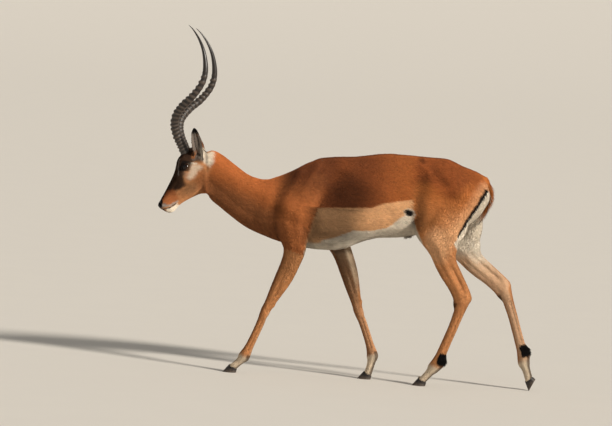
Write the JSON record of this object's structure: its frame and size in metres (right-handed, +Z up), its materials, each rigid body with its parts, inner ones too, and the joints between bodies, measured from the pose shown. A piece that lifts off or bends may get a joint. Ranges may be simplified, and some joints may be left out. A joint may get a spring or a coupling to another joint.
{
  "type": "impala antelope",
  "caption": "Life-size impala ram as a still museum-type model, caught at a walk with lyre-shaped ridged horns, upright ears and all hooves on the ground.",
  "frame": {"origin": "on the ground, under the middle of the animal's box", "axes": "+Z up, the animal faces -X, its left side is -Y and its right side +Y"},
  "size_m": [1.614, 0.3224, 1.4277],
  "materials": {
    "coat_fawn": "short glossy hair",
    "tail_hair": "long soft hair",
    "ear_coat": "short hair, thin",
    "horn": "ridged keratin, semi-matt",
    "hoof": "worn keratin, semi-matt",
    "eye": "wet gloss"
  },
  "bodies": {
    "root": {"head": "coat_fawn", "neck": "coat_fawn", "trunk": "coat_fawn", "leg_fore_left": "coat_fawn", "leg_fore_right": "coat_fawn", "leg_hind_left": "coat_fawn", "leg_hind_right": "coat_fawn", "tail": "tail_hair", "ear_left": "ear_coat", "ear_right": "ear_coat", "eye_left": "eye", "eye_right": "eye", "horn_left": "horn", "horn_right": "horn", "hoof_fore_left_outer": "hoof", "hoof_fore_left_inner": "hoof", "hoof_fore_right_outer": "hoof", "hoof_fore_right_inner": "hoof", "hoof_hind_left_outer": "hoof", "hoof_hind_left_inner": "hoof", "hoof_hind_right_outer": "hoof", "hoof_hind_right_inner": "hoof"}
  },
  "joints": []
}
